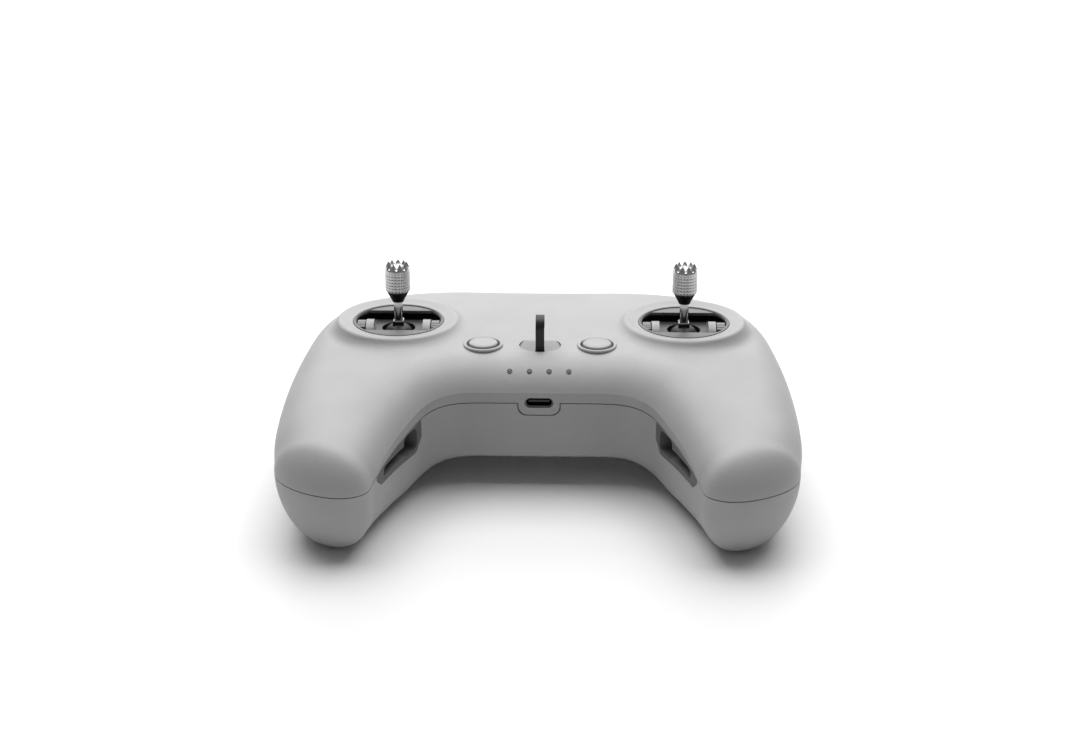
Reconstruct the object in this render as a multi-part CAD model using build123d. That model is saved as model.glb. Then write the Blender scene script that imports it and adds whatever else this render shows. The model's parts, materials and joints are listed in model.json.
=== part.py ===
from build123d import *
import os
from collections import namedtuple
from math import cos, hypot, radians, sin, tan

# Gamepad-style radio transmitter, millimetres.
# +X runs to the right hand, +Y away from the user, +Z up; z = 0 is the table it stands on.

# ---------------------------------------------------------------- driving dimensions
WALL = 2.0                      # moulded shell thickness
SEAM_GAP = 0.30                 # reveal between the two shells
TONGUE_INSET = 1.05             # the bottom shell's tongue stands behind the reveal
TONGUE_HEIGHT = 1.3
FIT = 0.15                      # clearance round pieces let into a shell
RUNNING = 0.03                  # radial clearance of pins and bearings

# One station is an upright slice through the arch of the body, from its inner to its outer edge.
Station = namedtuple(
    "Station",
    "inner outer lip lip_angle brow crest slope shoulder widest "
    "chine bottom keel_in keel_out seam_in seam_out",
)
#   inner, outer    plan points where the slice starts and ends
#   lip, lip_angle  height of the upper inner edge, and how steeply the top leaves it
#   brow, crest     length of the rounded brow and the height that it reaches
#   slope, shoulder fall of the deck, and length of the rounded outer shoulder
#   widest          height where the outer side is widest
#   chine, bottom   heights where the inner wall turns under, and of the underside
#   keel_in/out     how far the underside curves in from each edge
#   seam_in/out     heights of the parting line at both edges
STATIONS = [Station(*row) for row in (
    ((0, -7), (0, 61.6), 33.3, 60, 14, 41.2, 0.045, 5.5, 33, 12, 9.5, 2.2, 4.5, 30, 26),
    ((13.5, -7), (15, 61.8), 33.3, 60, 14, 41.2, 0.045, 5.5, 33, 12, 9.5, 2.3, 4.5, 30, 26),
    ((25.3, -7.4), (31, 62.2), 33.2, 60, 14, 41.3, 0.042, 6.5, 32.4, 12.3, 9, 3.2, 6, 29.9, 26),
    ((32.3, -10.2), (48, 60.8), 32.6, 60, 14.5, 41.4, 0.04, 9, 31.6, 13, 6.8, 6, 9.5, 29.5, 25.8),
    ((36.8, -15.3), (63.2, 54.7), 31.8, 60, 16, 41.5, 0.04, 12, 30.4, 13.8, 3.2, 10, 15, 28.7, 25.4),
    ((40.1, -22), (73.0, 43.4), 30.8, 61, 18.5, 41.3, 0.045, 15, 29, 14.5, 0.4, 13, 20, 27.8, 24.9),
    ((42.9, -28.2), (77.7, 28), 29.6, 63, 20, 40.8, 0.05, 17, 27.8, 15, -0.2, 13.8, 22.5, 26.9, 24.4),
    ((45.1, -33.8), (80.6, 10.8), 28.4, 65, 21, 39.7, 0.055, 18.5, 26.5, 15.3, -0.4, 14, 23.5, 26.1, 23.9),
    ((46.8, -38.6), (82.1, -5.5), 27.1, 68, 20.5, 38.6, 0.055, 19, 25.3, 15.5, -0.3, 13.9, 23, 25.3, 23.5),
    ((48.1, -42.7), (82.5, -19), 25.9, 72, 19, 37.6, 0.055, 18.8, 24.3, 15.6, -0.4, 14.1, 21.8, 24.6, 23.1),
    ((49.1, -46.1), (82.1, -29.3), 24.8, 76, 17.3, 36.8, 0.052, 17.8, 23.4, 15.6, -0.4, 14.2, 20.2, 23.8, 22.6),
    ((49.9, -49), (81.1, -37.3), 23.8, 80, 16, 36.1, 0.05, 16.5, 22.8, 15.6, -0.4, 14.2, 18.5, 23.2, 22.2),
)]
TIP_LENGTH = 12.9               # how far a grip runs on past its last station
TIP_AHEAD = (0.06, -0.998)      # plan direction of the right grip's tip
TIP_MID = 20.0                  # height that the tip closes round
TIP_ANGLES = (72, 54, 37, 22, 10, 3)
ROUND = 0.56                    # fullness of an elliptical corner
BROW_ROUND = 0.62

TILT = 5.0                      # the stick plates lean towards the far side
GIMBAL_X, GIMBAL_Y, GIMBAL_Z = 47.3, 29.5, 41.4
WELL_R = 15.2
COLLAR_CREST_R, COLLAR_EDGE_R, COLLAR_FOOT_R = 18.9, 20.4, 23.2
COLLAR_CREST_H, COLLAR_FOOT_H = 0.95, -4.4
COLLAR_BLEND_R = 5.0            # fillet where a collar meets the body
FRAME_R, FRAME_WALL, FRAME_DEPTH = 17.6, 1.4, 20.0
PLATE_T, PLATE_LIP_T = 1.2, 0.5
OPENING_R, OPENING_W = 14.0, 18.7
PIVOT_DEPTH = 5.8               # stick pivot below the face plate
DOME_R = 5.1
CRADLE_HOLE_R, CRADLE_L, CRADLE_W, CRADLE_H = 5.5, 16.2, 15.8, 6.4
CHEEK_R, CHEEK_T = 5.8, 2.5     # round cheeks at the cradle's ends
TRUNNION_R, STICK_PIN_R = 1.2, 1.0
MAGNET_X = 14.6
BEARING_R, BEARING_W, BEARING_X = 2.4, 2.4, 11.0
COVER_R, COVER_T = 5.5, 2.6
COVER_GROOVES = (8, 17, 26)     # degrees from upright
POST_W, POST_TOP = 3.7, 0.3
SHAFT_R, SHAFT_TOP = 1.5, 6.8
TAPER_TOP = 10.1
KNOB_R, KNOB_TOP = 4.1, 20.4
KNOB_TEETH = 9

BUTTON_X, BUTTON_Y, BUTTON_Z = 18.45, 12.0, 41.2
BUTTON_R, BUTTON_HOLE_R, BUTTON_BEAD_R = 4.7, 5.45, 6.35

POCKET_Y, POCKET_A, POCKET_B = 12.1, 6.8, 5.2
POCKET_NEAR_Z, POCKET_FLOOR_SLOPE = 38.0, 0.36
HOOK_Y, HOOK_T, HOOK_W, HOOK_FOOT_W = 8.7, 1.9, 2.8, 6.0
HOOK_BEND_R, HOOK_SPRING_Z, HOOK_TIP_DROP = 2.9, 48.0, 1.4

LED_PITCH, LED_Y, LED_R = 6.3, -2.0, 0.75
LED_SPOTS = [(i - 1.5) * LED_PITCH for i in range(4)]

USB_Z, USB_W, USB_H, USB_L = 29.9, 8.94, 3.26, 7.3
TAB_W, TAB_DROP = 13.2, 4.4

BOARD_Z, BOARD_T = 31.75, 1.6
CELL_R, CELL_L, CELL_Y, CELL_Z = 9.1, 65.0, 8.5, 21.3

SHOULDER_Z = 32.0               # height of the controls on the far shoulders
SIDE_KEY_X, SIDE_KEY_R, SIDE_KEY_PROUD, SIDE_KEY_STEM = 33.0, 3.5, 1.1, 4.6
DIAL_X, DIAL_R, DIAL_T, DIAL_PROUD = 50.0, 6.0, 4.6, 1.4
DIAL_NOTCHES = 24
SLIDER_TRAVEL = 3.0
SLIDER_W, SLIDER_H = 4.6, 3.4

SLOT_FROM, SLOT_TO = (38.0, -17.4), (47.0, -39.4)
SLOT_Z = 22.5
# Case screws on the right half: x, y, height of the underside and height of the seam there
SCREW_SPOTS = [(64, -40, 0.0, 23.2), (8, 53, 9.2, 26.5)]
SCREW_R, SCREW_HEAD_R, SCREW_BOSS_R, SCREW_SEAT = 1.3, 2.4, 3.6, 8.0
PLUG_R = 4.5
BOARD_SIZE, BOARD_MID_Y = (54.0, 49.0), 22.5
# Shielding cans: x, y, width, depth, height
CANS = [(-12, 30, 16, 14, 1.8), (11, 31, 14, 12, 1.8), (0, 42, 10, 6, 1.4)]

ORIGIN_Y = 2.8                  # the files' origin lies under the middle of the whole, this far along +Y

os.makedirs("parts", exist_ok=True)


def save(name, *solids):
    """Write one node, as a single solid or as a group of separate solids."""
    pieces = [solid for shape in solids for solid in shape.solids()]
    pieces = [Pos(0, -ORIGIN_Y, 0) * piece for piece in pieces]
    shape = pieces[0] if len(pieces) == 1 else Compound(children=pieces)
    shape.label = name
    export_step(shape, f"parts/{name}.step")


def cylinder_between(start, end, radius):
    """A round bar from one point to another."""
    axis = Vector(*end) - Vector(*start)
    base = Plane(origin=start, z_dir=axis)
    return extrude(base * Circle(radius), axis.length)


def pivot_bar(from_x, to_x, radius):
    """A round bar along a gimbal's cradle axis, in the gimbal's own frame."""
    return cylinder_between((from_x, 0, -PIVOT_DEPTH), (to_x, 0, -PIVOT_DEPTH), radius)


# ---------------------------------------------------------------- body surfaces
def rounded(start, knee, end, fullness=ROUND):
    """A smooth corner that leaves start towards knee and arrives at end from knee."""
    return Bezier(start, start + (knee - start) * fullness, end + (knee - end) * fullness, end)


def station_frame(station):
    """Length of a station's slice in plan, and the unit direction along it."""
    dx = station.outer[0] - station.inner[0]
    dy = station.outer[1] - station.inner[1]
    width = hypot(dx, dy)
    return width, (dx / width, dy / width)


def slice_point(station, side, scale, ahead):
    """Map (distance along the slice, height) into space; scale and ahead shape the grip's tip."""
    width, (dx, dy) = station_frame(station)
    mid_x = (station.inner[0] + station.outer[0]) / 2 + TIP_AHEAD[0] * ahead
    mid_y = (station.inner[1] + station.outer[1]) / 2 + TIP_AHEAD[1] * ahead

    def point(along, height):
        u = (along - width / 2) * scale
        z = TIP_MID + (height - TIP_MID) * scale
        return Vector(side * (mid_x + dx * u), mid_y + dy * u, z)

    return point


def body_slice(station, inset, side, scale=1.0, ahead=0.0):
    """The closed outline of one slice, drawn inwards by the inset."""
    at = slice_point(station, side, scale, ahead)
    width, _ = station_frame(station)
    near, far = inset, width - inset
    lip = station.lip - inset * 1.1
    crest = station.crest - inset
    bottom = station.bottom + inset
    chine = station.chine + inset * 0.4
    brow = max(station.brow, inset + 2)
    shoulder = far - station.shoulder + inset * 0.8
    shoulder_z = crest - station.slope * (shoulder - brow)
    fall = station.slope * 1.6
    shoulder_knee = shoulder_z - fall * (far - shoulder)
    third = (shoulder - brow) / 3
    keel_out = width - max(station.keel_out, inset + 1.5)
    keel_in = max(station.keel_in, inset + 1.5)
    brow_knee = near + (crest - lip) / tan(radians(station.lip_angle))
    edges = [
        Line(at(near, chine), at(near, lip)),
        rounded(at(near, lip), at(brow_knee, crest), at(brow, crest), BROW_ROUND),
        Bezier(
            at(brow, crest),
            at(brow + third, crest),
            at(shoulder - third, shoulder_z + fall * third),
            at(shoulder, shoulder_z),
        ),
        rounded(at(shoulder, shoulder_z), at(far, shoulder_knee), at(far, station.widest)),
        rounded(at(far, station.widest), at(far, bottom), at(keel_out, bottom)),
        Line(at(keel_out, bottom), at(keel_in, bottom)),
        rounded(at(keel_in, bottom), at(near, bottom), at(near, chine)),
    ]
    return Wire(edges)


def seam_slice(station, lift, side, scale=1.0, ahead=0.0):
    """One slice of the space below the parting surface, lifted by a distance."""
    reach = 6.0
    at = slice_point(station, side, 1.0, ahead)
    width, _ = station_frame(station)
    corners = [
        at(-reach, -reach),
        at(-reach, station.seam_in + lift),
        at(width + reach, station.seam_out + lift),
        at(width + reach, -reach),
    ]
    return Wire([Line(corners[i], corners[(i + 1) % 4]) for i in range(4)])


def arch(slice_maker, amount, tips):
    """Loft slices from the left grip's tip, round the arch, to the right grip's tip."""
    last = STATIONS[-1]
    right = [slice_maker(station, amount, 1) for station in STATIONS]
    left = [slice_maker(station, amount, -1) for station in reversed(STATIONS[1:])]
    right_tip = [slice_maker(last, amount, 1, scale, ahead) for scale, ahead in tips]
    left_tip = [slice_maker(last, amount, -1, scale, ahead) for scale, ahead in reversed(tips)]
    return Solid.make_loft(left_tip + left + right + right_tip)


def body(inset):
    """The body's outer surface as a solid, drawn inwards by the inset and flat on the table."""
    reach = TIP_LENGTH - inset
    tips = [(sin(radians(angle)), reach * cos(radians(angle))) for angle in TIP_ANGLES]
    return arch(body_slice, inset, tips)


def below_seam(lift):
    """Everything under the parting surface, which runs on past the grips' tips."""
    return arch(seam_slice, lift, [(1.0, 9.0), (1.0, TIP_LENGTH + 8.0)])


# ---------------------------------------------------------------- local frames
def tilted_plane(x, y, z):
    """A plane that leans to the far side by the plates' tilt, with X kept level."""
    return Plane(origin=(x, y, z), x_dir=(1, 0, 0), z_dir=(0, sin(radians(TILT)), cos(radians(TILT))))


def gimbal_plane(side):
    return tilted_plane(side * GIMBAL_X, GIMBAL_Y, GIMBAL_Z)


def button_plane(side):
    return tilted_plane(side * BUTTON_X, BUTTON_Y, BUTTON_Z)


def far_wall_plane(side, x):
    """A plane on the far wall at this x: its local Z points out of the wall, its local Y up."""
    for near, far in zip(STATIONS, STATIONS[1:]):
        if near.outer[0] <= x <= far.outer[0]:
            share = (x - near.outer[0]) / (far.outer[0] - near.outer[0])
            y = near.outer[1] + share * (far.outer[1] - near.outer[1])
            run = Vector(side * (far.outer[0] - near.outer[0]), far.outer[1] - near.outer[1], 0)
            break
    along = run.normalized() * -side
    return Plane(origin=(side * x, y, SHOULDER_Z), x_dir=along, z_dir=Vector(along.Y, -along.X, 0))


# ---------------------------------------------------------------- shells
def collar(side):
    """The raised ring round a stick well, dished on the inside and sloping off outside."""
    crest = (COLLAR_CREST_R, COLLAR_CREST_H)
    edge = (COLLAR_EDGE_R, COLLAR_CREST_H - 0.75)
    foot = (COLLAR_FOOT_R, COLLAR_FOOT_H)
    bottom = COLLAR_FOOT_H - 2.5
    profile = [
        Line((WELL_R - 1.0, bottom), (WELL_R - 1.0, 0.1)),
        Line((WELL_R - 1.0, 0.1), (WELL_R, 0.1)),
        Spline((WELL_R, 0.1), crest, tangents=[(1, 0.02), (1, 0.18)]),
        Spline(crest, edge, tangents=[(1, 0.18), (0.55, -1)]),
        Spline(edge, foot, tangents=[(0.55, -1), (0.3, -1)]),
        Line(foot, (COLLAR_FOOT_R, bottom)),
        Line((COLLAR_FOOT_R, bottom), (WELL_R - 1.0, bottom)),
    ]
    face = Plane.XZ * make_face(Curve() + profile)
    return gimbal_plane(side).location * revolve(face, Axis.Z)


def well(side):
    """The bore for the face plate, and the wider bore below it for the gimbal's frame."""
    ledge = -PLATE_T - 0.1
    bore = extrude(Circle(WELL_R), 8, both=True)
    wide = Pos(0, 0, ledge - 13) * Cylinder(FRAME_R + FIT, 26)
    return gimbal_plane(side).location * (bore + wide)


def button_bead(side):
    """The low raised rim round a face button."""
    profile = Plane.XZ * (Pos(BUTTON_HOLE_R + 0.45, 0) * Circle(0.6))
    return button_plane(side).location * revolve(profile, Axis.Z)


def button_bore(side):
    return button_plane(side).location * extrude(Circle(BUTTON_HOLE_R), 6, both=True)


def pocket(grow):
    """The scooped recess round the lanyard hook; grow makes the boss that backs it."""
    floor = Plane(
        origin=(0, POCKET_Y - POCKET_B, POCKET_NEAR_Z - grow),
        x_dir=(1, 0, 0),
        z_dir=(0, -POCKET_FLOOR_SLOPE, 1),
    )
    block = floor.location * (Pos(0, 0, 10) * Box(40, 60, 20))
    column = Pos(0, POCKET_Y, 34) * extrude(Ellipse(POCKET_A + grow, POCKET_B + grow), 12)
    return column & block


def usb_stadium(width, height, depth, y_front):
    """A stadium-section bar along Y that starts at y_front."""
    sketch = SlotOverall(width, height)
    mouth = Plane(origin=(0, y_front, USB_Z), x_dir=(1, 0, 0), z_dir=(0, -1, 0))
    return mouth.location * extrude(sketch, -depth)


def usb_tab(grow):
    """The tongue of the top shell that drops below the seam and frames the port."""
    top = STATIONS[0].seam_in + 1.0
    bottom = STATIONS[0].seam_in - TAB_DROP - grow
    width = TAB_W + 2 * grow
    block = Box(width, WALL + 2.6, top - bottom)
    block = fillet(block.edges().filter_by(Axis.Y).group_by(Axis.Z)[0], 3.0)
    return Pos(0, STATIONS[0].inner[1] + WALL / 2 - 0.5, (top + bottom) / 2) * block


def wall_slot(plane, width, height):
    """A slot through the far wall, along the plane's X."""
    return plane.location * extrude(RectangleRounded(width, height, 0.8), 2 * WALL, both=True)


def slot_plane(side):
    """The plane of a stick-storage panel: X along the inner wall, Y up, Z into the grip."""
    start = Vector(side * SLOT_FROM[0], SLOT_FROM[1], 0)
    end = Vector(side * SLOT_TO[0], SLOT_TO[1], 0)
    along = (end - start).normalized()
    into = Vector(-along.Y, along.X, 0) * side
    middle = (start + end) * 0.5 + Vector(0, 0, SLOT_Z)
    return Plane(origin=middle, x_dir=along * -side, z_dir=into)


def panel_outline(side, grow):
    """The storage panel's face: tall at the centre end, drawn to a point at the grip's end."""
    flip = 1 if side < 0 else -1
    points = [(-13.6, 9.0), (-13.6, -0.4), (-10.4, -4.4), (14.0, -3.4), (17.8, -0.2), (17.8, 9.0)]
    flipped = [(flip * x, y) for x, y in points]
    outline = make_face(Polyline(*flipped, close=True))
    outline = fillet(outline.vertices(), 1.4)
    return offset(outline, grow) if grow else outline


def stored_stick_pocket(side):
    """The keyhole that a removed stick lies in: a wide end for the knob, a narrow one for the shaft."""
    flip = 1 if side < 0 else -1
    knob = Pos(flip * -6.9, 0.6) * RectangleRounded(8.4, 7.4, 2.0)
    shaft = Pos(flip * 4.1, -0.4) * RectangleRounded(15.4, 3.4, 1.5)
    knob_well = extrude(knob, 9.4) + extrude(knob, -6)
    shaft_well = extrude(shaft, 5.2) + extrude(shaft, -6)
    return slot_plane(side).location * (knob_well + shaft_well)


def storage_insert(side, outer, below):
    """The panel let into the inner wall of a grip, with the pocket behind it."""
    flip = 1 if side < 0 else -1
    face = extrude(panel_outline(side, 0), 4.2) + extrude(panel_outline(side, 0), -8)
    knob_tray = Pos(flip * -6.9, 0.6, 6.6) * Box(10.8, 9.6, 8.0)
    shaft_tray = Pos(flip * 4.6, -0.4, 4.6) * Box(18, 6.0, 4.0)
    blank = slot_plane(side).location * (face + knob_tray + shaft_tray)
    return (blank & outer & below) - stored_stick_pocket(side)


def panel_opening(side):
    return slot_plane(side).location * (
        extrude(panel_outline(side, FIT), 12) + extrude(panel_outline(side, FIT), -8)
    )


def blend_collar(skin, side):
    """Round the crease where a collar stands up out of the body."""
    plane = gimbal_plane(side)

    def lies_in_crease(edge):
        points = [plane.to_local_coords(edge.position_at(share)) for share in (0.1, 0.5, 0.9)]
        return all(COLLAR_EDGE_R + 0.2 < hypot(p.X, p.Y) < COLLAR_FOOT_R + 0.4 for p in points)

    return skin.fillet(COLLAR_BLEND_R, [edge for edge in skin.edges() if lies_in_crease(edge)][:1])


# ---------------------------------------------------------------- stick gimbals
def gimbal_frame():
    """The fixed cup of a gimbal, with a pedestal for the bearing at each end."""
    top = -PLATE_T - 0.1
    height = FRAME_DEPTH + top
    cup = Pos(0, 0, top - height / 2) * Cylinder(FRAME_R, height)
    hollow = Pos(0, 0, top - height / 2 + FRAME_WALL) * Cylinder(FRAME_R - FRAME_WALL, height)
    floor_hole = Pos(0, 0, -FRAME_DEPTH) * Cylinder(7, 10)
    frame = cup - hollow - floor_hole
    pedestal_top = BEARING_R + 0.1 - PIVOT_DEPTH
    pedestal_foot = -13.5
    pedestal_in = BEARING_X - 0.1
    pedestal_l = FRAME_R - FRAME_WALL / 2 - pedestal_in
    pedestal = Box(pedestal_l, 7.0, pedestal_top - pedestal_foot)
    for end in (-1, 1):
        x = end * (pedestal_in + pedestal_l / 2)
        frame = frame + Pos(x, 0, (pedestal_top + pedestal_foot) / 2) * pedestal
        seat = pivot_bar(end * pedestal_in, end * (BEARING_X + BEARING_W), BEARING_R + 0.01)
        relief = pivot_bar(end * (pedestal_in - 1), end * (FRAME_R + 1), 1.8)
        frame = frame - seat - relief
    return frame


def plate_opening(grow):
    """The round opening that the stick moves in, cut off straight at its near and far sides."""
    return Circle(OPENING_R + grow) & Rectangle(2 * WELL_R + 2, OPENING_W + 2 * grow)


def face_plate():
    """The disc round the stick, thin at the lip of its opening."""
    disc = Circle(WELL_R - 0.1)
    lip = extrude(disc - plate_opening(0), -PLATE_LIP_T)
    return lip + extrude(disc - plate_opening(0.6), -PLATE_T)


def trim_ring():
    """The thin ring that covers the edge of the face plate."""
    ring = extrude(Circle(WELL_R - 0.12) - Circle(WELL_R - 0.95), 0.35)
    return chamfer(ring.edges().group_by(Axis.Z)[-1], 0.12)


def bearings():
    """A plain bearing at each end of the cradle."""
    rings = []
    for end in (-1, 1):
        ring = pivot_bar(end * BEARING_X, end * (BEARING_X + BEARING_W), BEARING_R)
        bore = pivot_bar(end * (BEARING_X - 1), end * (BEARING_X + BEARING_W + 1), TRUNNION_R + RUNNING)
        rings.append(ring - bore)
        rings.append(bearing_cover(end))
    return rings


def bearing_cover(end):
    """The ribbed half-round cover on top of a pedestal."""
    start = BEARING_X - 0.05
    floor = BEARING_R + 0.1 - PIVOT_DEPTH
    cover = pivot_bar(end * start, end * (start + COVER_T), COVER_R)
    for angle in COVER_GROOVES:
        y, z = COVER_R * sin(radians(angle)), COVER_R * cos(radians(angle)) - PIVOT_DEPTH
        for edge in (-1, 1):
            cover = cover - cylinder_between((end * 10, edge * y, z), (end * 15, edge * y, z), 0.16)
    return cover & (Pos(0, 0, floor + 5) * Box(40, 6.2, 10))


def cradle():
    """The block that turns about X between its bearings and carries the stick's pin."""
    reach = CRADLE_W / 2 + 1
    block = Box(CRADLE_L, CRADLE_W, CRADLE_H) - Cylinder(CRADLE_HOLE_R, CRADLE_H)
    block = chamfer(block.edges().filter_by(Axis.X).group_by(Axis.Z)[-1], 0.5)
    pin_bore = cylinder_between((0, -reach, -PIVOT_DEPTH), (0, reach, -PIVOT_DEPTH), STICK_PIN_R + RUNNING)
    bar = Pos(0, 0, -PIVOT_DEPTH) * block - pin_bore
    for end in (-1, 1):
        cheek = pivot_bar(end * CRADLE_L / 2, end * (CRADLE_L / 2 + CHEEK_T), CHEEK_R)
        pin = pivot_bar(end * CRADLE_L / 2, end * MAGNET_X, TRUNNION_R)
        bar = bar + cheek + pin
    return bar


def magnets():
    """The sensor magnets on the ends of the cradle's pins."""
    return [pivot_bar(end * MAGNET_X, end * (MAGNET_X + 1.2), 1.5) for end in (-1, 1)]


def stick_post():
    """The dome on the stick's pivot, the pin through it and the square post above."""
    dome = Pos(0, 0, -PIVOT_DEPTH) * Sphere(DOME_R)
    keep = Pos(0, 0, -PIVOT_DEPTH + 1.0) * Box(12, 20, 9.4)
    reach = CRADLE_W / 2 - 0.3
    pin = cylinder_between((0, -reach, -PIVOT_DEPTH), (0, reach, -PIVOT_DEPTH), STICK_PIN_R)
    length = POST_TOP + PIVOT_DEPTH
    post = Pos(0, 0, POST_TOP - length / 2) * Box(POST_W, POST_W, length)
    post = chamfer(post.edges().group_by(Axis.Z)[-1], 0.4)
    bore = Pos(0, 0, POST_TOP - 1.5) * Cylinder(SHAFT_R, 3.0)
    return ((dome & keep) + pin + post) - bore


def stick_shaft():
    """The steel rod from the post's bore up into the taper collar."""
    low = POST_TOP - 3.0
    high = SHAFT_TOP + 2.6
    return Pos(0, 0, (low + high) / 2) * Cylinder(SHAFT_R, high - low)


def taper_collar():
    """The cone that carries the knob on the shaft."""
    profile = Plane.XZ * make_face(Polyline(
        (SHAFT_R, SHAFT_TOP), (1.9, SHAFT_TOP), (2.05, SHAFT_TOP + 0.5), (3.55, TAPER_TOP),
        (SHAFT_R, TAPER_TOP), close=True,
    ))
    return revolve(profile, Axis.Z)


def stick_knob():
    """The grip: a knurled barrel with a rounded shoulder and a hollow crown of teeth."""
    low, high = TAPER_TOP, KNOB_TOP
    profile = [
        Line((0, low), (3.55, low)),
        Line((3.55, low), (KNOB_R, low + 0.8)),
        Line((KNOB_R, low + 0.8), (KNOB_R, high - 2.9)),
        Spline((KNOB_R, high - 2.9), (3.5, high - 0.7), (3.0, high), tangents=[(0, 1), (-0.8, 0.5)]),
        Line((3.0, high), (1.5, high - 1.5)),
        Line((1.5, high - 1.5), (0, high - 1.5)),
        Line((0, high - 1.5), (0, low)),
    ]
    knob = revolve(Plane.XZ * make_face(Curve() + profile), Axis.Z)
    notch = make_face(Polyline((-0.75, high + 0.2), (0.75, high + 0.2), (0, high - 1.5), close=True))
    cutter = extrude(Plane.XZ * notch, -6)
    for i in range(KNOB_TEETH):
        knob = knob - Rot(0, 0, i * 360 / KNOB_TEETH) * cutter
    return knob


def centring_springs():
    spots = [(-9.5, -8.5), (9.5, -8.5), (-9.5, 8.5), (9.5, 8.5)]
    z = -FRAME_DEPTH + FRAME_WALL + 2.0
    return [Pos(x, y, z) * (Cylinder(1.7, 4.0) - Cylinder(1.2, 4.0)) for x, y in spots]


def hall_board(side):
    """The sensor board on the inner side of the gimbal's cup, facing the magnet."""
    return Pos(-side * (FRAME_R + 0.6), 0, -PIVOT_DEPTH - 1.0) * Box(0.8, 9, 8)


# ---------------------------------------------------------------- keys, hook and port
def face_key(side):
    """A domed cap with its retaining flange and stem."""
    top, foot = 1.15, -4.5
    profile = Plane.XZ * make_face(Curve() + [
        Line((0, foot), (1.5, foot)),
        Line((1.5, foot), (1.5, -3.9)),
        Line((1.5, -3.9), (BUTTON_R + 1.4, -3.9)),
        Line((BUTTON_R + 1.4, -3.9), (BUTTON_R + 1.4, -3.1)),
        Line((BUTTON_R + 1.4, -3.1), (BUTTON_R, -3.1)),
        Line((BUTTON_R, -3.1), (BUTTON_R, top - 0.75)),
        Spline((BUTTON_R, top - 0.75), (BUTTON_R - 0.7, top - 0.08), (0, top), tangents=[(0, 1), (-1, 0)]),
        Line((0, top), (0, foot)),
    ])
    return button_plane(side).location * revolve(profile, Axis.Z)


def lanyard_hook():
    """A strip that rises from the recess, bends over to the far side and ends in a short tip."""
    low = POCKET_NEAR_Z + 0.3
    tip_y = HOOK_Y + 2 * HOOK_BEND_R
    strip = make_face(Polyline(
        (HOOK_Y - HOOK_T / 2, low), (HOOK_Y + HOOK_T / 2, low),
        (HOOK_Y + HOOK_T / 2, HOOK_SPRING_Z), (HOOK_Y - HOOK_T / 2, HOOK_SPRING_Z), close=True,
    ))
    bend = Pos(HOOK_Y + HOOK_BEND_R, HOOK_SPRING_Z) * (
        Circle(HOOK_BEND_R + HOOK_T / 2) - Circle(HOOK_BEND_R - HOOK_T / 2)
    )
    upper = Pos(HOOK_Y + HOOK_BEND_R, HOOK_SPRING_Z + 5) * Rectangle(20, 10)
    tip = Pos(tip_y, HOOK_SPRING_Z - HOOK_TIP_DROP / 2) * RectangleRounded(HOOK_T, HOOK_TIP_DROP + 0.6, 0.2)
    side_view = strip + (bend & upper) + tip
    half, foot = HOOK_W / 2, HOOK_FOOT_W / 2
    blank = extrude(Plane.YZ * side_view, foot, both=True)
    waist = low + 4.2
    top = HOOK_SPRING_Z + HOOK_BEND_R + HOOK_T
    front = make_face(Curve() + [
        Line((-foot, low), (foot, low)),
        Spline((foot, low), (half, waist), tangents=[(-1, 0.35), (0, 1)]),
        Line((half, waist), (half, top)),
        Line((half, top), (-half, top)),
        Line((-half, top), (-half, waist)),
        Spline((-half, waist), (-foot, low), tangents=[(0, -1), (-1, -0.35)]),
    ])
    hook = blank & extrude(Plane.XZ * front, 40, both=True)
    base = Pos(0, HOOK_Y + 0.3, low - 0.5) * Box(HOOK_FOOT_W, 2.6, 1.6)
    return hook + base


def usb_port():
    """A receptacle: a stadium shell, closed at the back, with the contact tongue inside."""
    front = STATIONS[0].inner[1] + 0.5
    sheet = 0.3
    hollow = usb_stadium(USB_W - 2 * sheet, USB_H - 2 * sheet, USB_L - 2 * sheet, front)
    shell = usb_stadium(USB_W, USB_H, USB_L, front) - hollow
    tongue = Pos(0, front + 0.9 + (USB_L - 0.9) / 2, USB_Z) * Box(6.7, USB_L - 0.9, 0.7)
    return shell + tongue


def light_pipes(outer):
    """Four clear pins on one bar, flush with the brow of the top shell."""
    pipes = Pos(0, LED_Y + 0.6, 34.7) * Box(3 * LED_PITCH + 3, 2.2, 0.9)
    for x in LED_SPOTS:
        pipes = pipes + Pos(x, LED_Y, 37.5) * Cylinder(LED_R, 6.0)
    return pipes & outer


# ---------------------------------------------------------------- controls on the far shoulders
def dial_plane():
    return far_wall_plane(-1, DIAL_X)


def slider_plane():
    return far_wall_plane(1, DIAL_X)


def gimbal_dial():
    """A notched wheel on an upright axis, set so that only its edge stands out of the wall."""
    rim = Circle(DIAL_R)
    for i in range(DIAL_NOTCHES):
        rim = rim - Rot(0, 0, i * 360 / DIAL_NOTCHES) * (Pos(DIAL_R + 0.25, 0) * Circle(0.6))
    wheel = extrude(rim - Circle(1.0 + RUNNING), DIAL_T / 2, both=True)
    return dial_location() * wheel


def dial_location():
    plane = dial_plane()
    centre = plane.origin - plane.z_dir * (DIAL_R - DIAL_PROUD)
    return Location((centre.X, centre.Y, centre.Z))


def dial_bracket():
    """The fork and axle that hold the dial inside the shell."""
    arm_l, arm_w, arm_t = 7.8, 4.0, 1.2
    reach = DIAL_T / 2 + 0.3
    inward = dial_plane().z_dir * -1
    turn = Rot(0, 0, Vector(1, 0, 0).get_signed_angle(inward, Vector(0, 0, 1)))
    fork = Pos(DIAL_R + 1.2, 0, 0) * Box(1.4, arm_w, 2 * (reach + arm_t))
    for level in (-1, 1):
        fork = fork + Pos(arm_l / 2 + 0.1, 0, level * (reach + arm_t / 2)) * Box(arm_l, arm_w, arm_t)
    axle = Cylinder(1.0, 2 * reach + 0.4)
    return dial_location() * turn * (fork + axle)


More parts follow.
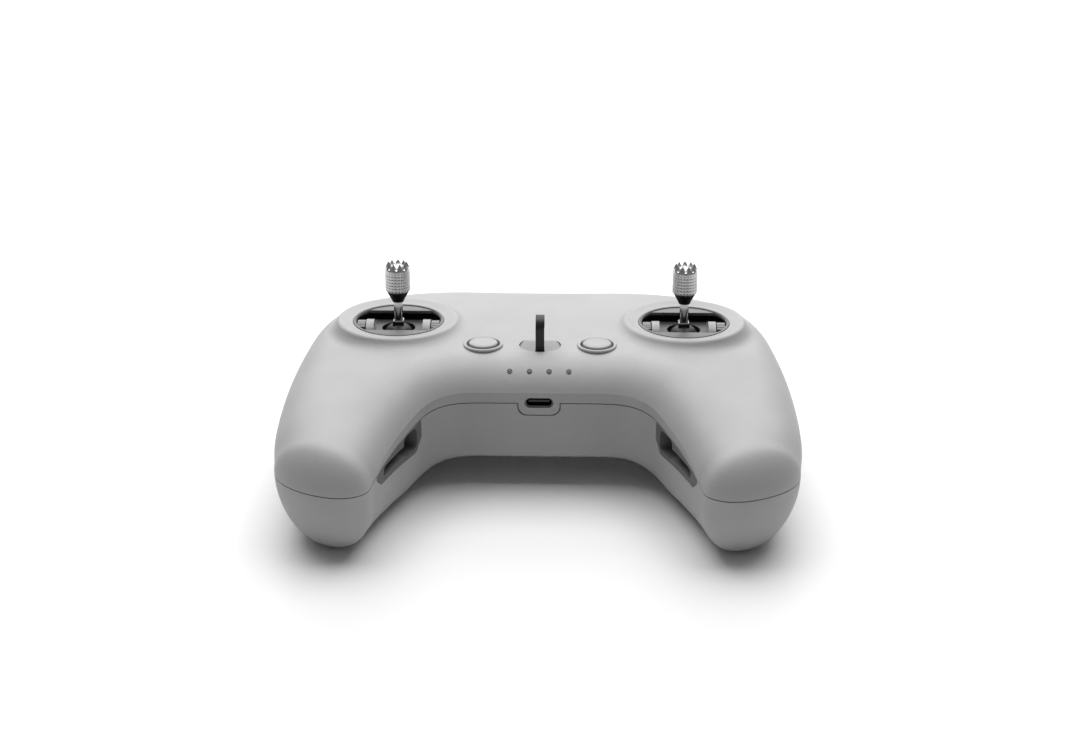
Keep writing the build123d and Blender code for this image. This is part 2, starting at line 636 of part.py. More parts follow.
def side_key_plane(side):
    return far_wall_plane(side, SIDE_KEY_X)


def side_key(side):
    """A round key on the far wall, with its flange behind the shell."""
    length = SIDE_KEY_PROUD + SIDE_KEY_STEM
    cap = Pos(0, 0, SIDE_KEY_PROUD - length / 2) * Cylinder(SIDE_KEY_R, length)
    cap = fillet(cap.edges().group_by(Axis.Z)[-1], 0.5)
    flange = Pos(0, 0, -SIDE_KEY_STEM - 0.4) * Cylinder(SIDE_KEY_R + 0.7, 0.8)
    return side_key_plane(side).location * (cap + flange)


def mode_slider():
    """The three-position switch: a ribbed tab on a plate that slides behind the wall."""
    tab = Pos(0, 0, -1.6) * Box(SLIDER_W, SLIDER_H, 6.4)
    tab = fillet(tab.edges().group_by(Axis.Z)[-1], 0.5)
    for x in (-1.1, 0, 1.1):
        tab = tab - Pos(x, 0, 1.6) * Box(0.4, SLIDER_H, 0.5)
    plate = Pos(0, 0, -5.2) * Box(9.0, 5.6, 1.2)
    return slider_plane().location * (tab + plate)


# ---------------------------------------------------------------- fasteners and electronics
def screw_spots():
    """All four case screws: the right half's two, and their mirror images."""
    return [(side * x, y, floor, seam) for x, y, floor, seam in SCREW_SPOTS for side in (-1, 1)]


def lower_boss(x, y, floor, seam):
    return Pos(x, y, (floor + seam) / 2) * Cylinder(SCREW_BOSS_R, seam - floor)


def upper_boss(x, y, floor, seam):
    return Pos(x, y, seam + 5) * Cylinder(SCREW_BOSS_R, 12)


def screw_bore(x, y, floor, seam):
    """The deep hole for the head, and the clearance hole above it."""
    head_hole = Pos(x, y, floor + SCREW_SEAT / 2 - 1) * Cylinder(SCREW_HEAD_R + 0.3, SCREW_SEAT + 2)
    shank_l = seam - floor - SCREW_SEAT
    return head_hole + Pos(x, y, seam - shank_l / 2) * Cylinder(SCREW_R + 0.15, shank_l + 4)


def screw_pilot(x, y, floor, seam):
    return Pos(x, y, seam + 3.0) * Cylinder(SCREW_R, 8.4)


def case_screw(x, y, floor, seam):
    """A pan-head thread-forming screw with a cross recess."""
    seat = floor + SCREW_SEAT
    top = seam + 6.5
    shank = Pos(x, y, (seat + top) / 2) * Cylinder(SCREW_R, top - seat)
    head = Pos(x, y, seat - 0.9) * Cylinder(SCREW_HEAD_R, 1.8)
    head = fillet(head.edges().group_by(Axis.Z)[0], 0.6)
    slot = Pos(x, y, seat - 1.6) * (Box(2.8, 0.6, 1.4) + Box(0.6, 2.8, 1.4))
    return head + shank - slot


def plug_axis(side):
    return side * GIMBAL_X, GIMBAL_Y


def plug_bore(side):
    x, y = plug_axis(side)
    return Pos(x, y, 2) * Cylinder(PLUG_R + 0.1, 14)


def access_plug(side, skin_inset):
    """A soft plug over the hole that gives a screwdriver the gimbal's tension screws."""
    x, y = plug_axis(side)
    stem = Pos(x, y, 4.5) * Cylinder(PLUG_R, 9.0)
    hollow = Pos(x, y, 9.0) * Cylinder(PLUG_R - 1.3, 6.0)
    return (stem & skin_inset) - hollow


def main_board():
    """The circuit board across the bridge, with a light under each light pipe."""
    board = Pos(0, BOARD_MID_Y, BOARD_Z) * extrude(RectangleRounded(*BOARD_SIZE, 3), BOARD_T)
    for x in LED_SPOTS:
        board = board + Pos(x, LED_Y + 1.6, BOARD_Z + BOARD_T + 0.3) * Box(1.6, 1.2, 0.8)
    return board


def board_chips():
    """The shielding cans and packages soldered to the board."""
    top = BOARD_Z + BOARD_T
    chips = []
    for x, y, width, depth, height in CANS:
        can = fillet(Box(width, depth, height).edges().filter_by(Axis.Z), 0.8)
        chips.append(Pos(x, y, top + height / 2) * can)
    return chips


def tact_switches():
    """One switch under each face button, on the board."""
    top = BOARD_Z + BOARD_T
    switches = []
    for side in (-1, 1):
        switch = Pos(0, 0, 0.9) * Box(6, 6, 1.8) + Pos(0, 0, 1.9) * Cylinder(1.6, 0.6)
        switches.append(Pos(side * BUTTON_X, BUTTON_Y + 0.3, top) * switch)
    return switches


def cell():
    """The cylindrical lithium cell, with its raised positive end."""
    tip_l = 1.2
    can_l = CELL_L - tip_l
    can = fillet((Rot(0, 90, 0) * Cylinder(CELL_R, can_l)).edges(), 0.8)
    tip = Pos(can_l / 2 + tip_l / 2, 0, 0) * (Rot(0, 90, 0) * Cylinder(2.8, tip_l))
    return Pos(-tip_l / 2, CELL_Y, CELL_Z) * (can + tip)


def cell_cradle():
    """The trough on the bottom shell's floor that the cell lies in."""
    floor = STATIONS[0].bottom + WALL + 0.05
    top = CELL_Z - 2.0
    room_l, trough_l = CELL_L + 0.8, CELL_L + 3.2
    block = Pos(0, CELL_Y, (floor + top) / 2) * Box(trough_l, 2 * CELL_R + 1.6, top - floor)
    trough = Pos(0, CELL_Y, CELL_Z) * (Rot(0, 90, 0) * Cylinder(CELL_R + 0.1, room_l))
    ends = Pos(0, CELL_Y, CELL_Z) * (Box(trough_l, 10, 12) - Box(room_l, 12, 14))
    return block - trough + ends


def cell_contacts():
    """The sprung nickel tabs at both ends of the cell."""
    return [Pos(end * (CELL_L / 2 + 0.2), CELL_Y, CELL_Z) * Box(0.3, 7, 8) for end in (-1, 1)]


def antennas():
    """Two printed antennas along the far wall."""
    return [Pos(side * 16.5, 58.0, 26.0) * Box(21, 0.6, 9) for side in (-1, 1)]


# ---------------------------------------------------------------- shells, cut and split
table = Pos(0, 0, -10) * Box(400, 400, 20)
outer = body(0) - table
cavity = body(WALL)
sides = (-1, 1)
names = {-1: "left", 1: "right"}

skin = outer
for side in sides:
    skin = skin + collar(side)
    skin = blend_collar(skin, side)
for side in sides:
    skin = skin + button_bead(side)
walls = skin - cavity + (pocket(1.5) & outer)
for side in sides:
    walls = walls - well(side) - button_bore(side)
    walls = walls - side_key_plane(side).location * extrude(Circle(SIDE_KEY_R + 0.25), 4.4, both=True)
walls = walls - pocket(0)
walls = walls - wall_slot(dial_plane(), 2 * DIAL_R + 0.4, DIAL_T + 0.8)
walls = walls - wall_slot(slider_plane(), SLIDER_W + 2 * SLIDER_TRAVEL + 1.2, SLIDER_H + 0.8)
for x in LED_SPOTS:
    walls = walls - Pos(x, LED_Y, 38) * Cylinder(LED_R + 0.12, 8)

lower_space = below_seam(-SEAM_GAP / 2)
rebate = (body(TONGUE_INSET - 0.1) & below_seam(TONGUE_HEIGHT + 0.15)) - usb_tab(0)
top_shell = (walls - below_seam(SEAM_GAP / 2)) - rebate + (walls & usb_tab(0))
top_shell = top_shell - usb_stadium(USB_W + 0.3, USB_H + 0.3, 12, STATIONS[0].inner[1] - 3)

tongue = (body(TONGUE_INSET) & below_seam(TONGUE_HEIGHT)) - body(WALL) - below_seam(-1.5)
bottom_shell = (walls & lower_space) + tongue - usb_tab(SEAM_GAP)
for side in sides:
    bottom_shell = bottom_shell - (panel_opening(side) & below_seam(-0.3)) - plug_bore(side)
top_shell = top_shell - lanyard_hook() - light_pipes(outer)
boss_skin = body(0.5)
for spot in screw_spots():
    lower = lower_boss(*spot) & boss_skin & lower_space
    upper = (upper_boss(*spot) & boss_skin) - below_seam(SEAM_GAP / 2)
    bottom_shell = bottom_shell + lower - screw_bore(*spot)
    top_shell = top_shell + upper - screw_pilot(*spot)
save("top_shell", top_shell)
save("bottom_shell", bottom_shell)
for side in sides:
    at = gimbal_plane(side).location
    name = names[side]
    save(f"{name}_gimbal_frame", at * gimbal_frame())
    save(f"{name}_face_plate", at * face_plate())
    save(f"{name}_trim_ring", at * trim_ring())
    save(f"{name}_bearings", *[at * ring for ring in bearings()])
    save(f"{name}_cradle", at * cradle())
    save(f"{name}_magnets", *[at * magnet for magnet in magnets()])
    save(f"{name}_stick_post", at * stick_post())
    save(f"{name}_stick_shaft", at * stick_shaft())
    save(f"{name}_taper_collar", at * taper_collar())
    save(f"{name}_stick_knob", at * stick_knob())
    save(f"{name}_centring_springs", *[at * spring for spring in centring_springs()])
    save(f"{name}_hall_board", at * hall_board(side))
    save(f"{name}_storage_insert", storage_insert(side, body(0.1), below_seam(-0.4)))
save("power_button", face_key(-1))
save("custom_button", face_key(1))
save("lanyard_hook", lanyard_hook())
save("usb_port", usb_port())
save("light_pipes", light_pipes(body(0.1)))
save("gimbal_dial", gimbal_dial())
save("dial_bracket", dial_bracket())
save("pause_button", side_key(-1))
save("shutter_button", side_key(1))
save("mode_slider", mode_slider())
save("case_screws", *[case_screw(*spot) for spot in screw_spots()])
plug_skin = body(0.15)
save("access_plugs", *[access_plug(side, plug_skin) for side in sides])
save("main_board", main_board())
save("board_chips", *board_chips())
save("tact_switches", *tact_switches())
save("battery_cell", cell())
save("battery_cradle", cell_cradle())
save("battery_contacts", *cell_contacts())
save("antennas", *antennas())
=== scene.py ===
"""Looks for a gamepad-style radio transmitter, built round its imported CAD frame. Metres, +Z up."""

import json
from math import atan2, cos, pi, radians, sin, tau

import bpy
from mathutils import Matrix, Vector


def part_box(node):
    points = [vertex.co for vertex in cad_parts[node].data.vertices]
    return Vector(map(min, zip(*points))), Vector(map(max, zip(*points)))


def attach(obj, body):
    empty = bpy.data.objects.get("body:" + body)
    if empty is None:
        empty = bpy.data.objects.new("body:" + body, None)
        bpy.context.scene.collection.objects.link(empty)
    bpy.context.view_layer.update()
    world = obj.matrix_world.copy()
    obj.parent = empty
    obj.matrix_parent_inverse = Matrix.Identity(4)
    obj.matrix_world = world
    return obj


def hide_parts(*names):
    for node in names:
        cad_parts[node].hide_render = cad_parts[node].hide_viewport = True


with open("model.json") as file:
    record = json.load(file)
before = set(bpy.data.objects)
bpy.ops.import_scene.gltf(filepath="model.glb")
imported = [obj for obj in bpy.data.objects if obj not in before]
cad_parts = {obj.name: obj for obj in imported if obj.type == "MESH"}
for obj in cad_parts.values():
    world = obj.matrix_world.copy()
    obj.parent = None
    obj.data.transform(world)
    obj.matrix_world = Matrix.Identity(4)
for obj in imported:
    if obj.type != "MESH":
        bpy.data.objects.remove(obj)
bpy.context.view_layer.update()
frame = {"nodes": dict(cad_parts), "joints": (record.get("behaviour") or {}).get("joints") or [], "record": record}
MM = 0.001
STICK_X = 47.3 * MM
SIDES = ("left", "right")


# ---------------------------------------------------------------- node helpers
class Look:
    """A material under construction: its Principled shader, and short ways to add nodes."""

    def __init__(self, name, **sockets):
        self.material = bpy.data.materials.new(name)
        self.material.use_nodes = True
        self.tree = self.material.node_tree
        self.shader = self.tree.nodes["Principled BSDF"]
        for socket, value in sockets.items():
            self.shader.inputs[socket.replace("_", " ")].default_value = value
        self.coordinates = self.tree.nodes.new("ShaderNodeTexCoord").outputs["Object"]

    def node(self, kind, settings=None, **inputs):
        """Add a node; inputs given as sockets are linked, and the others are set."""
        made = self.tree.nodes.new("ShaderNode" + kind)
        for key, value in (settings or {}).items():
            setattr(made, key, value)
        for key, value in inputs.items():
            name = key.replace("_", " ")
            numbered = key[0] == "i" and key[1:].isdigit()
            socket = made.inputs[int(key[1:])] if numbered else made.inputs[name]
            if isinstance(value, bpy.types.NodeSocket):
                self.tree.links.new(value, socket)
            else:
                socket.default_value = value
        return made

    def math(self, operation, first, second=0.0, clamp=False):
        settings = {"operation": operation, "use_clamp": clamp}
        return self.node("Math", settings, i0=first, i1=second).outputs[0]

    def noise(self, scale, detail=2.0, rough=0.5, coordinates=None):
        where = coordinates or self.coordinates
        made = self.node("TexNoise", Vector=where, Scale=scale, Detail=detail, Roughness=rough)
        return made.outputs["Fac"]

    def axis(self, name):
        return self.node("SeparateXYZ", Vector=self.coordinates).outputs[name]

    def spread(self, value, low, high, out_low=0.0, out_high=1.0):
        """Map a stretch of values onto another, clamped at both ends."""
        made = self.node("MapRange", Value=value, From_Min=low, From_Max=high,
                         To_Min=out_low, To_Max=out_high)
        return made.outputs["Result"]

    def mix(self, share, first, second):
        made = self.node("Mix", {"data_type": "RGBA"}, i0=share)
        for index, value in ((6, first), (7, second)):
            if isinstance(value, bpy.types.NodeSocket):
                self.tree.links.new(value, made.inputs[index])
            else:
                made.inputs[index].default_value = (*value, 1.0)
        return made.outputs[2]

    def bump(self, height, strength, distance, under=None):
        made = self.node("Bump", Height=height, Strength=strength, Distance=distance)
        if under:
            self.tree.links.new(under, made.inputs["Normal"])
        return made.outputs["Normal"]

    def plug(self, value, socket):
        self.tree.links.new(value, self.shader.inputs[socket])


def grey(level, warmth=0.0):
    return (level * (1 + warmth), level, level * (1 - warmth))


# ---------------------------------------------------------------- materials
def moulded_plastic(name, light, dark, rough=0.5, grain=0.35, grain_size=0.42 * MM):
    """Spark-textured moulding: fine pebbled grain, faint flow mottling, colour a little lighter on sharp convex
    edges.
    """
    look = Look(name, IOR=1.46)
    mottle = look.noise(28.0, 3.0, 0.55)
    speck = look.noise(1.4 / grain_size, 1.0)
    tone = look.mix(look.spread(mottle, 0.35, 0.65), dark, light)
    tone = look.mix(look.spread(speck, 0.3, 0.75, 0.0, 0.10), tone, grey(0.08))
    # the colour is made lighter on sharp convex edges, by pointiness
    lighter_edges = look.spread(look.node("NewGeometry").outputs["Pointiness"], 0.52, 0.60, 0.0, 0.35)
    look.plug(look.mix(lighter_edges, tone, light), "Base Color")
    look.plug(look.spread(look.noise(90.0, 2.0), 0.3, 0.7, rough - 0.05, rough + 0.06), "Roughness")
    coarse = look.noise(1.0 / grain_size, 2.0, 0.6)
    fine = look.noise(2.6 / grain_size, 1.0)
    normal = look.bump(coarse, grain, 0.035 * MM)
    look.plug(look.bump(fine, grain * 0.6, 0.012 * MM, normal), "Normal")
    return look.material


def filled_nylon(name, level, rough=0.42):
    """Glass-filled nylon: near-black, with short pale fibre streaks in the surface."""
    look = Look(name, IOR=1.5)
    stretched = look.node("Mapping", Vector=look.coordinates, Scale=(1.0, 0.25, 1.0)).outputs[0]
    fibre = look.noise(5200.0, 2.0, 0.6, stretched)
    look.plug(look.mix(look.spread(fibre, 0.55, 0.75), grey(level), grey(level * 2.2)), "Base Color")
    look.plug(look.spread(fibre, 0.3, 0.7, rough - 0.08, rough + 0.1), "Roughness")
    look.plug(look.bump(fibre, 0.25, 0.01 * MM), "Normal")
    return look.material


def turned_metal(name, level, rough, streak_scale=9000.0, warmth=0.0, along="Z"):
    """Machined metal: fine turning lines round the part, a little uneven in polish."""
    scale = {"Z": (0.03, 0.03, 1.0), "X": (1.0, 0.03, 0.03), "Y": (0.03, 1.0, 0.03)}[along]
    look = Look(name, Metallic=1.0)
    stretched = look.node("Mapping", Vector=look.coordinates, Scale=scale).outputs[0]
    lines = look.noise(streak_scale, 3.0, 0.6, stretched)
    cloud = look.noise(700.0, 2.0)
    dull, bright = grey(level * 0.93, warmth), grey(level, warmth)
    look.plug(look.mix(look.spread(cloud, 0.3, 0.7), dull, bright), "Base Color")
    look.plug(look.spread(lines, 0.3, 0.7, rough - 0.05, rough + 0.08), "Roughness")
    look.plug(look.bump(lines, 0.25, 0.006 * MM), "Normal")
    return look.material


def soft_rubber(name, level, rough=0.6):
    look = Look(name, IOR=1.42)
    dust = look.noise(420.0, 4.0, 0.65)
    skin = look.noise(3800.0, 2.0)
    look.plug(look.mix(look.spread(dust, 0.45, 0.8), grey(level), grey(level * 1.5)), "Base Color")
    look.plug(look.spread(skin, 0.3, 0.7, rough - 0.06, rough + 0.08), "Roughness")
    look.plug(look.bump(skin, 0.3, 0.012 * MM), "Normal")
    return look.material


def gimbal_cross(name):
    """Black cradle whose end cheeks are pale acetal, with bare metal pins beyond them."""
    look = Look(name, IOR=1.5)
    from_stick = look.math("SUBTRACT", look.math("ABSOLUTE", look.axis("X")), STICK_X)
    from_middle = look.math("ABSOLUTE", from_stick)
    cheek = look.spread(from_middle, 8.02 * MM, 8.07 * MM)
    pin = look.spread(from_middle, 10.64 * MM, 10.68 * MM)
    speck = look.noise(3200.0, 2.0)
    pale = look.mix(speck, grey(0.30), grey(0.42))
    tone = look.mix(cheek, grey(0.018), pale)
    look.plug(look.mix(pin, tone, grey(0.55)), "Base Color")
    look.plug(look.spread(speck, 0.2, 0.8, 0.28, 0.42), "Roughness")
    look.plug(pin, "Metallic")
    look.plug(look.bump(speck, 0.2, 0.01 * MM), "Normal")
    return look.material


def circuit_board(name):
    """Green solder mask over copper tracks, with a grid of plated holes."""
    look = Look(name, IOR=1.5, Coat_Weight=0.4, Coat_Roughness=0.12)
    tracks = look.node("TexBrick", {"offset": 0.35, "squash": 0.7}, Vector=look.coordinates,
                       Scale=900.0, Mortar_Size=0.06, Color1=(1, 1, 1, 1), Color2=(0, 0, 0, 1),
                       Mortar=(0.5, 0.5, 0.5, 1))
    copper = look.spread(tracks.outputs["Color"], 0.4, 0.6)
    holes = look.node("TexVoronoi", {"feature": "DISTANCE_TO_EDGE"}, Vector=look.coordinates,
                      Scale=520.0)
    ring = look.spread(holes.outputs["Distance"], 0.40, 0.43)
    mask = look.mix(copper, (0.008, 0.075, 0.03), (0.015, 0.16, 0.06))
    look.plug(look.mix(ring, mask, (0.72, 0.56, 0.22)), "Base Color")
    look.plug(look.spread(look.noise(300.0), 0.3, 0.7, 0.28, 0.4), "Roughness")
    look.plug(look.bump(copper, 0.3, 0.03 * MM), "Normal")
    return look.material


def wrapped_cell(name):
    """A blue shrink sleeve with nickel showing at both ends of the cell."""
    look = Look(name, IOR=1.5)
    x = look.axis("X")
    right_end = look.spread(x, 31.2 * MM, 31.3 * MM)
    left_end = look.spread(x, -31.9 * MM, -32.0 * MM)
    ends = look.math("MAXIMUM", right_end, left_end)
    wrinkle = look.noise(240.0, 4.0, 0.6)
    sleeve = look.mix(look.spread(wrinkle, 0.3, 0.7), (0.01, 0.05, 0.19), (0.02, 0.09, 0.28))
    look.plug(look.mix(ends, sleeve, grey(0.6, 0.03)), "Base Color")
    look.plug(ends, "Metallic")
    look.plug(look.spread(wrinkle, 0.3, 0.7, 0.18, 0.3), "Roughness")
    look.plug(look.bump(wrinkle, 0.25, 0.08 * MM), "Normal")
    return look.material


def light_pipe(name):
    look = Look(name, IOR=1.49, Transmission_Weight=0.55)
    haze = look.noise(900.0, 2.0)
    look.plug(look.mix(haze, grey(0.10), grey(0.16)), "Base Color")
    look.plug(look.spread(haze, 0.3, 0.7, 0.12, 0.3), "Roughness")
    return look.material


def port_metal_with_painted_shade(name):
    """Plated sheet round the port's mouth, with painted shade from a little way in: near-black and less metallic
    deeper in, standing in for the shade inside the port.
    """
    look = Look(name)
    mouth_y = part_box("usb_port")[0].y
    # painted shade: this mask grows over the first 0.5 mm into the port
    depth = look.spread(look.axis("Y"), mouth_y, mouth_y + 0.5 * MM)
    grain = look.noise(6000.0, 2.0)
    plated = look.mix(grain, grey(0.10), grey(0.16))
    # grey(0.012) is painted shade inside the port, not the plating's own colour
    look.plug(look.mix(depth, plated, grey(0.012)), "Base Color")
    look.plug(look.spread(depth, 0.0, 1.0, 0.9, 0.2), "Metallic")
    look.plug(look.spread(grain, 0.3, 0.7, 0.28, 0.42), "Roughness")
    return look.material


def floor_white(name):
    look = Look(name, IOR=1.35)
    cloud = look.noise(3.0, 2.0)
    look.plug(look.mix(cloud, grey(0.86), grey(0.88)), "Base Color")
    look.plug(look.spread(cloud, 0.0, 1.0, 0.34, 0.40), "Roughness")
    return look.material


LOOKS = {
    "shell_grey": moulded_plastic("shell_grey_moulding", grey(0.43), grey(0.405), rough=0.5),
    "insert_grey": moulded_plastic("insert_grey_moulding", grey(0.15), grey(0.135), 0.55, 0.25),
    "frame_black": filled_nylon("black_nylon", 0.016),
    "plate_grey": moulded_plastic("plate_satin", grey(0.17), grey(0.15), rough=0.4, grain=0.15),
    "bearing_grey": moulded_plastic("bearing_acetal", grey(0.30), grey(0.27), rough=0.4, grain=0.1),
    "knob_alloy": turned_metal("knob_alloy_blasted", 0.62, 0.30),
    "shaft_steel": turned_metal("shaft_steel_polished", 0.70, 0.12),
    "collar_dark": turned_metal("collar_black_anodised", 0.045, 0.34),
    "key_grey": moulded_plastic("key_satin", grey(0.40), grey(0.37), rough=0.36, grain=0.15),
    "hook_black": soft_rubber("hook_soft_black", 0.014, 0.42),
    # port plating, with painted shade inside the port
    "port_steel": port_metal_with_painted_shade("port_plating_and_painted_shade"),
    "lens": light_pipe("light_pipe_clear"),
    "board_green": circuit_board("board_solder_mask"),
    "can_steel": turned_metal("can_tinned", 0.55, 0.30, 5000.0),
    "screw_steel": turned_metal("screw_black_oxide", 0.09, 0.36),
    "spring_steel": turned_metal("spring_wire", 0.6, 0.2),
    "cell_wrap": wrapped_cell("cell_sleeve"),
    "nickel": turned_metal("nickel_strip", 0.6, 0.25, 5000.0, 0.03),
    "plug_rubber": soft_rubber("plug_soft_grey", 0.13, 0.6),
    "magnet": turned_metal("magnet_plating", 0.45, 0.22),
}
CROSS = gimbal_cross("cradle_black_and_acetal")


# ---------------------------------------------------------------- mesh helpers
def new_piece(name, vertices, faces, material, body, smooth=True):
    """Make a mesh piece from lists, give it its material, and let it ride on a CAD body."""
    mesh = bpy.data.meshes.new(name)
    mesh.from_pydata([tuple(v) for v in vertices], [], faces)
    mesh.validate()
    if smooth:
        mesh.shade_smooth()
    piece = bpy.data.objects.new(name, mesh)
    bpy.context.scene.collection.objects.link(piece)
    mesh.materials.append(material)
    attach(piece, body)
    return piece


def ring_mesh(rings, closed=False):
    """Join equal rings of points with quads; open ends are capped."""
    count = len(rings[0])
    vertices = [point for ring in rings for point in ring]
    faces = []
    spans = len(rings) if closed else len(rings) - 1
    for i in range(spans):
        a, b = i * count, (i + 1) % len(rings) * count
        for j in range(count):
            k = (j + 1) % count
            faces.append((a + j, a + k, b + k, b + j))
    if not closed:
        faces.append(tuple(reversed(range(count))))
        faces.append(tuple(range(len(vertices) - count, len(vertices))))
    return vertices, faces


def tube(path, radius, sides=10):
    """Rings of a round wire that follows a path."""
    rings = []
    for i, point in enumerate(path):
        ahead = path[min(i + 1, len(path) - 1)] - path[max(i - 1, 0)]
        turn = ahead.to_track_quat("Z", "X").to_matrix()
        angles = [a * tau / sides for a in range(sides)]
        rings.append([point + turn @ Vector((radius * cos(a), radius * sin(a), 0)) for a in angles])
    return ring_mesh(rings)


# ---------------------------------------------------------------- gimbal frames of reference
PLATE_DEPTH = 5.8 * MM


def joint_named(name):
    return next(joint for joint in frame["joints"] if joint["name"] == name)


def gimbal_matrix(side_name):
    """The plate's own frame: origin on the stick's axis at the plate, Z along the stick."""
    low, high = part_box(f"{side_name}_face_plate")
    x = (low.x + high.x) / 2
    pivot = Vector(joint_named(f"{side_name}_stick_pitch")["pos_m"])
    across = Vector(joint_named(f"{side_name}_stick_roll")["axis"])
    tilt = atan2(abs(across.z), abs(across.y))
    up = Vector((0, sin(tilt), cos(tilt)))
    origin = Vector((x, pivot.y, pivot.z)) + up * PLATE_DEPTH
    return Matrix.Translation(origin) @ Matrix.Rotation(-tilt, 4, "X")


# ---------------------------------------------------------------- knurled stick knobs
KNOB_LOW = 10.1 * MM                # bottom of the knob above the face plate
KNURLS, TEETH, KNOB_SIDES = 24, 9, 288
NOTCH_WIDTH = 0.92                  # of the space between two teeth
KNURL_PITCH, KNURL_DEPTH, TOOTH_DEPTH = 1.04 * MM, 0.24 * MM, 1.6 * MM


def knob_profile():
    """Rows of radius, height, knurl share and tooth share, in mm, from the bottom into the crown."""
    steps = [(0.2, 0.0, 0, 0), (3.3, 0.0, 0, 0), (3.5, 0.06, 0, 0), (4.02, 0.72, 0.0, 0)]
    rows = 62
    bottom, top = 0.85, 7.35
    for i in range(rows + 1):
        steps.append((4.1, bottom + i * (top - bottom) / rows, min(1.0, (rows - i) / 3), 0))
    shoulder = [(4.08, 7.7, 0.0), (4.02, 8.1, 0.05), (3.92, 8.5, 0.16), (3.80, 8.85, 0.34),
                (3.66, 9.2, 0.55), (3.48, 9.55, 0.78), (3.28, 9.9, 0.95), (3.10, 10.15, 1.0),
                (2.98, 10.27, 1.0), (2.88, 10.2, 1.0), (2.70, 9.95, 0.96), (2.40, 9.55, 0.78),
                (2.10, 9.2, 0.5), (1.80, 8.9, 0.2), (1.55, 8.72, 0.0)]
    steps += [(r, z, 0.0, tooth) for r, z, tooth in shoulder]
    steps += [(1.3, 8.68, 0, 0), (0.2, 8.66, 0, 0)]
    return steps


def knob_rings():
    rings = []
    for radius, height, knurl, tooth in knob_profile():
        groove_round = max(0.0, cos(tau * height * MM / KNURL_PITCH))
        ring = []
        for j in range(KNOB_SIDES):
            angle = tau * j / KNOB_SIDES
            groove_up = max(0.0, cos(KNURLS * angle))
            pit = groove_round * groove_up
            depth = 0.25 * groove_round + 0.25 * groove_up + pit
            r = radius * MM - KNURL_DEPTH * knurl * depth
            share = (angle * TEETH / tau) % 1.0
            notch = max(0.0, 1.0 - abs(share - 0.5) * 2 / NOTCH_WIDTH)
            z = KNOB_LOW + height * MM - TOOTH_DEPTH * tooth * notch
            ring.append(Vector((r * cos(angle), r * sin(angle), z)))
        rings.append(ring)
    return rings


def stick_knob(side_name):
    matrix = gimbal_matrix(side_name) @ Matrix.Rotation(radians(10), 4, "Z")
    rings = [[matrix @ point for point in ring] for ring in knob_rings()]
    vertices, faces = ring_mesh(rings)
    knob = new_piece(f"{side_name}_knurled_knob", vertices, faces, LOOKS["knob_alloy"],
                     f"{side_name}_stick")
    knob.data.set_sharp_from_angle(angle=radians(38))
    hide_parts(f"{side_name}_stick_knob")


# ---------------------------------------------------------------- small gimbal pieces
def post_rim(side_name):
    """The bright metal lip let into the square top of the stick's post."""
    matrix = gimbal_matrix(side_name)
    outer, inner = 1.86 * MM, 1.40 * MM
    top, bottom = 0.34 * MM, -0.35 * MM
    bevel = 0.3 * MM
    section = [(inner, bottom), (outer, bottom), (outer, top - bevel), (outer - bevel, top), (inner, top)]
    rings = []
    for corner in range(4):
        turn = Matrix.Rotation(corner * pi / 2, 4, "Z")
        rings.append([matrix @ turn @ Vector((u, u, z)) for u, z in section])
    vertices, faces = ring_mesh(rings, closed=True)
    new_piece(f"{side_name}_post_rim", vertices, faces, LOOKS["shaft_steel"],
              f"{side_name}_stick", smooth=False)


def coil_springs(side_name):
    """Four real coil springs in place of the plain sleeves."""
    matrix = gimbal_matrix(side_name)
    turns, wire, radius = 5.5, 0.24 * MM, 1.42 * MM
    low, high = -18.35 * MM, -14.85 * MM
    steps = int(turns * 20)
    corners = ((-9.5, -8.5), (9.5, -8.5), (-9.5, 8.5), (9.5, 8.5))
    first = None
    for number, (x, y) in enumerate(corners):
        path = []
        for i in range(steps + 1):
            angle = tau * turns * i / steps
            height = low + (high - low) * i / steps
            place = (x * MM + radius * cos(angle), y * MM + radius * sin(angle), height)
            path.append(matrix @ Vector(place))
        vertices, faces = tube(path, wire, 8)
        spring = new_piece(f"{side_name}_coil_{number}", vertices, faces, LOOKS["spring_steel"],
                           "case")
        first = first or spring
    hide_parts(f"{side_name}_centring_springs")


# ---------------------------------------------------------------- carried-over CAD pieces
def dress_cad_nodes():
    for part in frame["record"]["subparts"]:
        node = frame["nodes"][part["node"]]
        material = CROSS if part["node"].endswith("_cradle") else LOOKS[part["material_slot"]]
        node.data.materials.clear()
        node.data.materials.append(material)


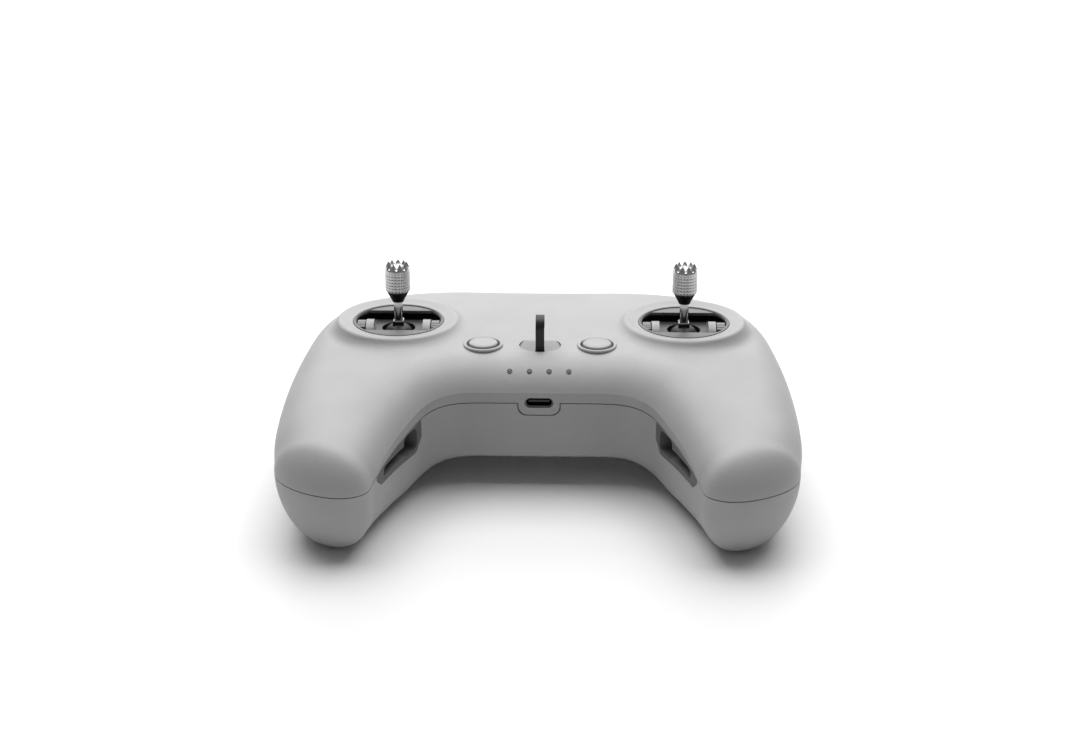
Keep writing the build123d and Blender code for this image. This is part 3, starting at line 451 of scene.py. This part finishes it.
# ---------------------------------------------------------------- studio
def studio_floor():
    half = 3.0
    mesh = bpy.data.meshes.new("floor")
    corners = [(-half, -half, 0), (half, -half, 0), (half, half, 0), (-half, half, 0)]
    mesh.from_pydata(corners, [], [(0, 1, 2, 3)])
    ground = bpy.data.objects.new("floor", mesh)
    bpy.context.scene.collection.objects.link(ground)
    mesh.materials.append(floor_white("floor_white"))


def soft_box(name, place, aim, width, depth, power):
    light = bpy.data.lights.new(name, "AREA")
    light.shape = "RECTANGLE"
    light.size = width
    light.size_y = depth
    light.energy = power
    lamp = bpy.data.objects.new(name, light)
    bpy.context.scene.collection.objects.link(lamp)
    lamp.location = place
    lamp.rotation_euler = (Vector(aim) - Vector(place)).to_track_quat("-Z", "Y").to_euler()


def studio_light():
    """A broad lamp overhead and a sheet of light behind, with a little light from all round."""
    soft_box("key_overhead", (0, 0.35, 1.0), (0, 0.02, 0), 1.5, 0.9, 16.0)
    soft_box("back_sheet", (0, 1.3, 0.7), (0, 0, 0.02), 2.4, 0.8, 14.0)
    world = bpy.data.worlds.new("studio")
    world.use_nodes = True
    background = world.node_tree.nodes["Background"]
    background.inputs["Color"].default_value = (1, 1, 1, 1)
    background.inputs["Strength"].default_value = 0.16
    bpy.context.scene.world = world
    bpy.context.scene.view_settings.view_transform = "Standard"


def camera():
    """A 72 mm view from 28 degrees above the table, 0.7 m off and a degree to the right."""
    distance, elevation = 0.7, radians(28)
    pitch_down, swing = radians(26.886), radians(1.05)
    round_table = Matrix.Rotation(swing, 4, "Z")
    target = Vector((0, -0.0028, 0.020))
    lens = bpy.data.cameras.new("camera")
    lens.lens = 72.0
    lens.sensor_width = 36.0
    lens.shift_x = 0.0004
    lens.clip_start = 0.01
    view = bpy.data.objects.new("camera", lens)
    bpy.context.scene.collection.objects.link(view)
    back = Vector((0, -distance * cos(elevation), distance * sin(elevation)))
    view.location = round_table @ (target + back)
    view.rotation_euler = (pi / 2 - pitch_down, 0, swing)
    bpy.context.scene.camera = view


dress_cad_nodes()
for side_name in SIDES:
    stick_knob(side_name)
    post_rim(side_name)
    coil_springs(side_name)
studio_floor()
studio_light()
camera()
